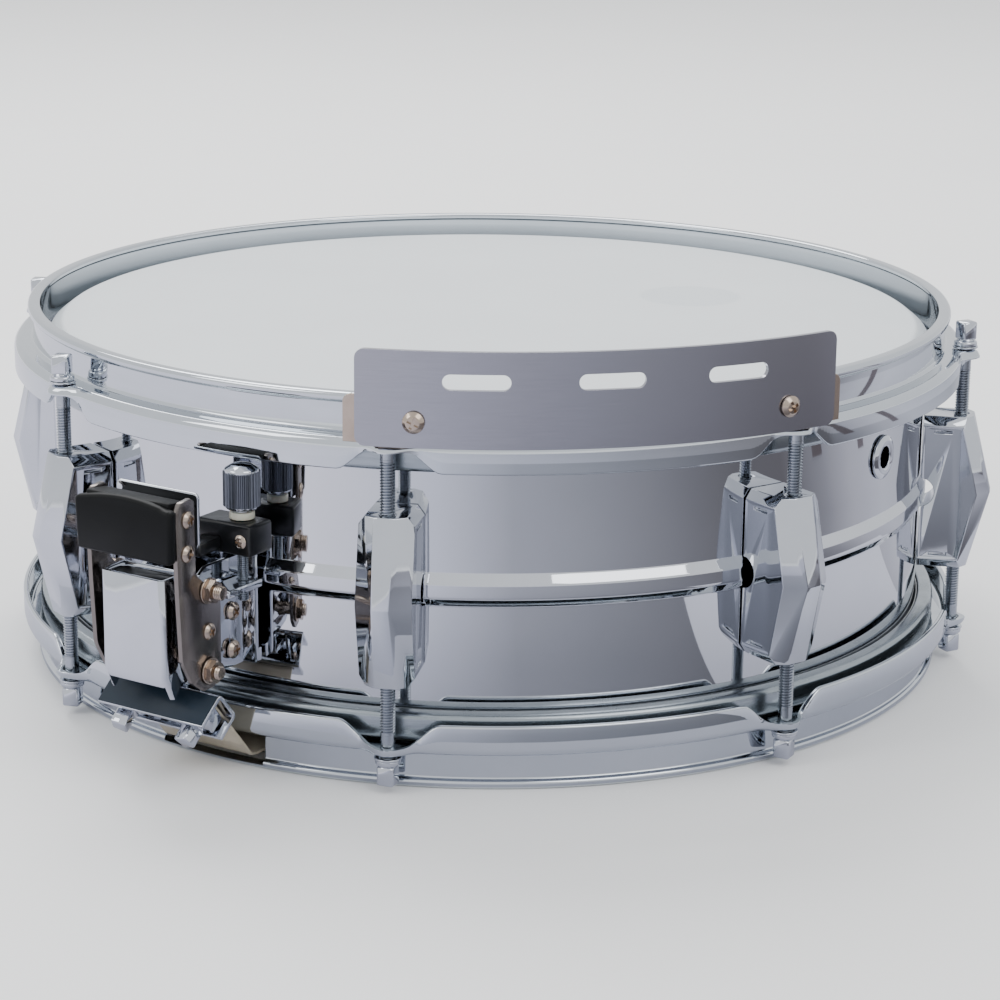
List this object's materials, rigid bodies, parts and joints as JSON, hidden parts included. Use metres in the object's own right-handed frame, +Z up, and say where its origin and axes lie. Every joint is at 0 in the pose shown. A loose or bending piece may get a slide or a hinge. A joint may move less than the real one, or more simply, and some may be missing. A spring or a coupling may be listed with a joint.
{
  "type": "snare drum",
  "caption": "Shallow chromed-steel snare drum with flanged hoops, tension lugs, throw-off strainer, snare wires and a slotted guard plate on the rim.",
  "frame": {"origin": "centre of the batter head's playing face, on the drum's axis", "axes": "+Z up along the drum's axis, out of the batter head; -Y towards the strainer, so the snares run along Y; +X to the player's right when the strainer is nearest"},
  "size_m": [0.384, 0.4404, 0.1636],
  "materials": {
    "chrome": "mirror chrome plate on the pressed steel shell and hoops and on the die-cast lugs",
    "nickel": "warm nickel plate on screws, nuts and the vent grommet",
    "satin_steel": "plated steel with a fine satin grain",
    "coated_film": "white coated polyester drum head, matt",
    "clear_film": "thin hazy polyester snare-side head",
    "black_rubber": "moulded black lever grip, satin",
    "black_plastic": "moulded black nylon",
    "knob_metal": "knurled grey knob with a polished cap",
    "strap_plastic": "hazy plastic strap"
  },
  "bodies": {
    "drum": {"shell": "chrome", "vent_grommet": "nickel", "batter_head": "coated_film", "snare_side_head": "clear_film", "batter_flesh_hoop": "satin_steel", "snare_side_flesh_hoop": "satin_steel", "batter_hoop": "chrome", "snare_side_hoop": "chrome", "lug_1": "chrome", "lug_2": "chrome", "lug_3": "chrome", "lug_4": "chrome", "lug_5": "chrome", "lug_6": "chrome", "lug_7": "chrome", "lug_8": "chrome", "guard_plate": "satin_steel", "guard_bracket_left": "chrome", "guard_bracket_right": "chrome", "guard_screw_left": "nickel", "guard_screw_right": "nickel", "strainer_base": "chrome", "strainer_cover": "chrome", "cheek_screw_left_upper": "nickel", "cheek_screw_left_lower": "nickel", "cheek_screw_right_upper": "nickel", "cheek_screw_right_lower": "nickel", "lever_pivot_bolt": "nickel", "butt_bracket": "chrome", "butt_clamp_plate": "chrome", "butt_clamp_bolt_left": "chrome", "butt_clamp_bolt_right": "chrome"},
    "strainer_lever": {"lever_arm_left": "satin_steel", "lever_arm_right": "satin_steel", "lever_grip": "black_rubber"},
    "tension_knob": {"tension_knob": "knob_metal"},
    "tension_slide": {"tension_yoke": "black_plastic"},
    "snare_unit": {"snare_carriage": "chrome", "snare_clamp_bar": "chrome", "snare_clamp_bolt_left": "chrome", "snare_clamp_bolt_right": "chrome", "strainer_strap": "strap_plastic", "snare_wires": "satin_steel", "butt_strap": "strap_plastic"},
    "batter_tension_rod_1": {"batter_tension_rod_1": "chrome"},
    "batter_tension_rod_2": {"batter_tension_rod_2": "chrome"},
    "batter_tension_rod_3": {"batter_tension_rod_3": "chrome"},
    "batter_tension_rod_4": {"batter_tension_rod_4": "chrome"},
    "batter_tension_rod_5": {"batter_tension_rod_5": "chrome"},
    "batter_tension_rod_6": {"batter_tension_rod_6": "chrome"},
    "batter_tension_rod_7": {"batter_tension_rod_7": "chrome"},
    "batter_tension_rod_8": {"batter_tension_rod_8": "chrome"},
    "snare_tension_rod_1": {"snare_tension_rod_1": "chrome"},
    "snare_tension_rod_2": {"snare_tension_rod_2": "chrome"},
    "snare_tension_rod_3": {"snare_tension_rod_3": "chrome"},
    "snare_tension_rod_4": {"snare_tension_rod_4": "chrome"},
    "snare_tension_rod_5": {"snare_tension_rod_5": "chrome"},
    "snare_tension_rod_6": {"snare_tension_rod_6": "chrome"},
    "snare_tension_rod_7": {"snare_tension_rod_7": "chrome"},
    "snare_tension_rod_8": {"snare_tension_rod_8": "chrome"}
  },
  "joints": [
    {"name": "lever_throw_off", "type": "hinge", "parent": "drum", "child": "strainer_lever", "pos_m": [0, -0.211, -0.091], "axis": [1, 0, 0], "range_deg": [0, 60]},
    {"name": "tension_slide_drop", "type": "slide", "parent": "drum", "child": "tension_slide", "axis": [0, 0, 1], "range_m": [-0.00221, 0]},
    {"name": "knob_turn", "type": "hinge", "parent": "tension_slide", "child": "tension_knob", "pos_m": [0.019, -0.1895, -0.03], "axis": [0, 0, 1], "range_deg": [0, 721]},
    {"name": "snare_unit_travel", "type": "slide", "parent": "tension_slide", "child": "snare_unit", "axis": [0, 0, 1], "range_m": [-0.0008, 0]},
    {"name": "batter_tension_rod_1_turn", "type": "hinge", "parent": "drum", "child": "batter_tension_rod_1", "pos_m": [0.17785, 0.07367, -0.0062], "axis": [0, 0, 1], "continuous": true},
    {"name": "batter_tension_rod_2_turn", "type": "hinge", "parent": "drum", "child": "batter_tension_rod_2", "pos_m": [0.07367, 0.17785, -0.0062], "axis": [0, 0, 1], "continuous": true},
    {"name": "batter_tension_rod_3_turn", "type": "hinge", "parent": "drum", "child": "batter_tension_rod_3", "pos_m": [-0.07367, 0.17785, -0.0062], "axis": [0, 0, 1], "continuous": true},
    {"name": "batter_tension_rod_4_turn", "type": "hinge", "parent": "drum", "child": "batter_tension_rod_4", "pos_m": [-0.17785, 0.07367, -0.0062], "axis": [0, 0, 1], "continuous": true},
    {"name": "batter_tension_rod_5_turn", "type": "hinge", "parent": "drum", "child": "batter_tension_rod_5", "pos_m": [-0.17785, -0.07367, -0.0062], "axis": [0, 0, 1], "continuous": true},
    {"name": "batter_tension_rod_6_turn", "type": "hinge", "parent": "drum", "child": "batter_tension_rod_6", "pos_m": [-0.07367, -0.17785, -0.0062], "axis": [0, 0, 1], "continuous": true},
    {"name": "batter_tension_rod_7_turn", "type": "hinge", "parent": "drum", "child": "batter_tension_rod_7", "pos_m": [0.07367, -0.17785, -0.0062], "axis": [0, 0, 1], "continuous": true},
    {"name": "batter_tension_rod_8_turn", "type": "hinge", "parent": "drum", "child": "batter_tension_rod_8", "pos_m": [0.17785, -0.07367, -0.0062], "axis": [0, 0, 1], "continuous": true},
    {"name": "snare_tension_rod_1_turn", "type": "hinge", "parent": "drum", "child": "snare_tension_rod_1", "pos_m": [0.17785, 0.07367, -0.1218], "axis": [0, 0, 1], "continuous": true},
    {"name": "snare_tension_rod_2_turn", "type": "hinge", "parent": "drum", "child": "snare_tension_rod_2", "pos_m": [0.07367, 0.17785, -0.1218], "axis": [0, 0, 1], "continuous": true},
    {"name": "snare_tension_rod_3_turn", "type": "hinge", "parent": "drum", "child": "snare_tension_rod_3", "pos_m": [-0.07367, 0.17785, -0.1218], "axis": [0, 0, 1], "continuous": true},
    {"name": "snare_tension_rod_4_turn", "type": "hinge", "parent": "drum", "child": "snare_tension_rod_4", "pos_m": [-0.17785, 0.07367, -0.1218], "axis": [0, 0, 1], "continuous": true},
    {"name": "snare_tension_rod_5_turn", "type": "hinge", "parent": "drum", "child": "snare_tension_rod_5", "pos_m": [-0.17785, -0.07367, -0.1218], "axis": [0, 0, 1], "continuous": true},
    {"name": "snare_tension_rod_6_turn", "type": "hinge", "parent": "drum", "child": "snare_tension_rod_6", "pos_m": [-0.07367, -0.17785, -0.1218], "axis": [0, 0, 1], "continuous": true},
    {"name": "snare_tension_rod_7_turn", "type": "hinge", "parent": "drum", "child": "snare_tension_rod_7", "pos_m": [0.07367, -0.17785, -0.1218], "axis": [0, 0, 1], "continuous": true},
    {"name": "snare_tension_rod_8_turn", "type": "hinge", "parent": "drum", "child": "snare_tension_rod_8", "pos_m": [0.17785, -0.07367, -0.1218], "axis": [0, 0, 1], "continuous": true}
  ],
  "couplings": [
    {"joint": "tension_slide_drop", "follows": "lever_throw_off", "m_per_rad": -0.0021009},
    {"joint": "knob_turn", "follows": "snare_unit_travel", "rad_per_m": -15708}
  ]
}
